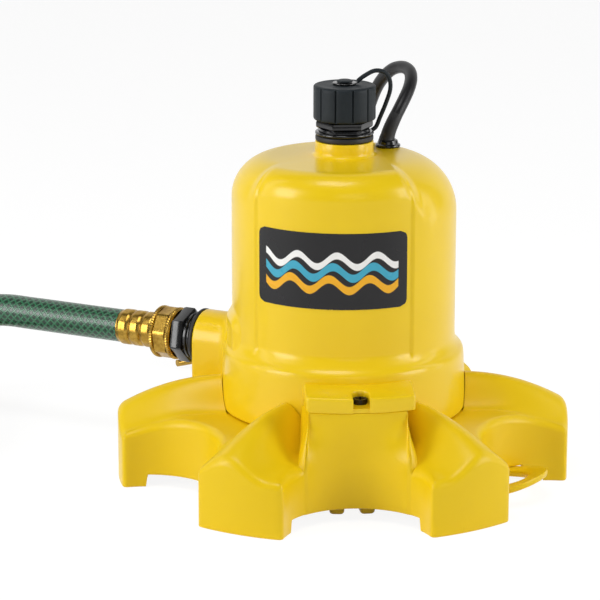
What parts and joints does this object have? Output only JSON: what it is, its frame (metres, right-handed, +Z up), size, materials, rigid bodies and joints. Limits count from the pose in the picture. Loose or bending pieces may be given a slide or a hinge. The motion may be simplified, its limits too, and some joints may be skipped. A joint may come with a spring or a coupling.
{
  "type": "submersible sump pump",
  "caption": "Submersible utility pump on a ribbed six-legged base, with a capped top outlet, a side outlet with a short garden hose, and a power cord with plug.",
  "frame": {"origin": "on the floor, under the motor axis", "axes": "+Z up along the motor axis; -Y towards the front screw panel; +X to its right"},
  "size_m": [0.603, 0.4067, 0.2472],
  "materials": {
    "yellow_casing": "fine texture",
    "yellow_housing": "satin",
    "black_plastic": "moulded",
    "gloss_black": "polished",
    "black_rubber": "matt",
    "black_cord": "satin",
    "steel": "plain",
    "cast_metal": "plain",
    "copper": "enamelled wire",
    "white_plastic": "moulded",
    "lead_plastic": "wire insulation",
    "brass": "turned",
    "green_hose": "braided",
    "label_film": "printed film"
  },
  "bodies": {
    "root": {"lower_casing": "yellow_casing", "upper_housing": "yellow_housing", "suction_screen": "yellow_casing", "screen_screws": "steel", "pump_chamber": "black_plastic", "motor_bracket": "black_plastic", "housing_seal": "black_rubber", "housing_screws": "steel", "motor_can": "steel", "motor_top_cap": "steel", "upper_bracket": "cast_metal", "stator_core": "cast_metal", "stator_windings": "copper", "run_capacitor": "white_plastic", "thermal_protector": "black_plastic", "motor_leads": "lead_plastic", "lower_bearing": "steel", "upper_bearing": "steel", "shaft_seal": "black_rubber", "outlet_gasket": "black_rubber", "outlet_adapter": "gloss_black", "tether_ring": "black_plastic", "cap_tether": "black_plastic", "port_gasket": "black_rubber", "port_adapter": "gloss_black", "hose_washer": "black_rubber", "hose_tail": "brass", "hose_ferrule": "brass", "hose": "green_hose", "end_ferrule": "brass", "end_coupling": "brass", "cord_gland": "black_rubber", "power_cord": "black_cord", "power_cord_coil": "black_cord", "coil_ties": "black_plastic", "mains_plug": "black_cord", "plug_blades": "brass", "body_label": "label_film"},
    "rotor": {"rotor_shaft": "steel", "rotor_core": "cast_metal", "impeller": "white_plastic", "impeller_nut": "steel"},
    "cap_carrier": {"cap_washer": "black_rubber", "tether_eyelet": "black_plastic"},
    "cap": {"outlet_cap": "black_plastic"},
    "nut_carrier": {"swivel_ring": "brass"},
    "hose_nut": {"hose_nut": "brass"}
  },
  "joints": [
    {"name": "rotor_spin", "type": "hinge", "parent": "root", "child": "rotor", "pos_m": [0, 0, 0.1], "axis": [0, 0, 1], "continuous": true},
    {"name": "cap_lift", "type": "slide", "parent": "root", "child": "cap_carrier", "axis": [0, 0, 1], "range_m": [0, 0.00663], "deforming": ["cap_tether"]},
    {"name": "cap_turn", "type": "hinge", "parent": "cap_carrier", "child": "cap", "pos_m": [0, 0, 0.2175], "axis": [0, 0, 1], "range_deg": [0, 1080]},
    {"name": "hose_nut_back_off", "type": "slide", "parent": "root", "child": "nut_carrier", "axis": [-0.866, 0.5, 0], "range_m": [0, 0.001]},
    {"name": "hose_nut_turn", "type": "hinge", "parent": "nut_carrier", "child": "hose_nut", "pos_m": [-0.10392, 0.06, 0.0725], "axis": [-0.866, 0.5, 0], "range_deg": [0, 162.99]}
  ],
  "couplings": [
    {"joint": "cap_lift", "follows": "cap_turn", "m_per_rad": 0.00035152},
    {"joint": "hose_nut_back_off", "follows": "hose_nut_turn", "m_per_rad": 0.00035152}
  ]
}
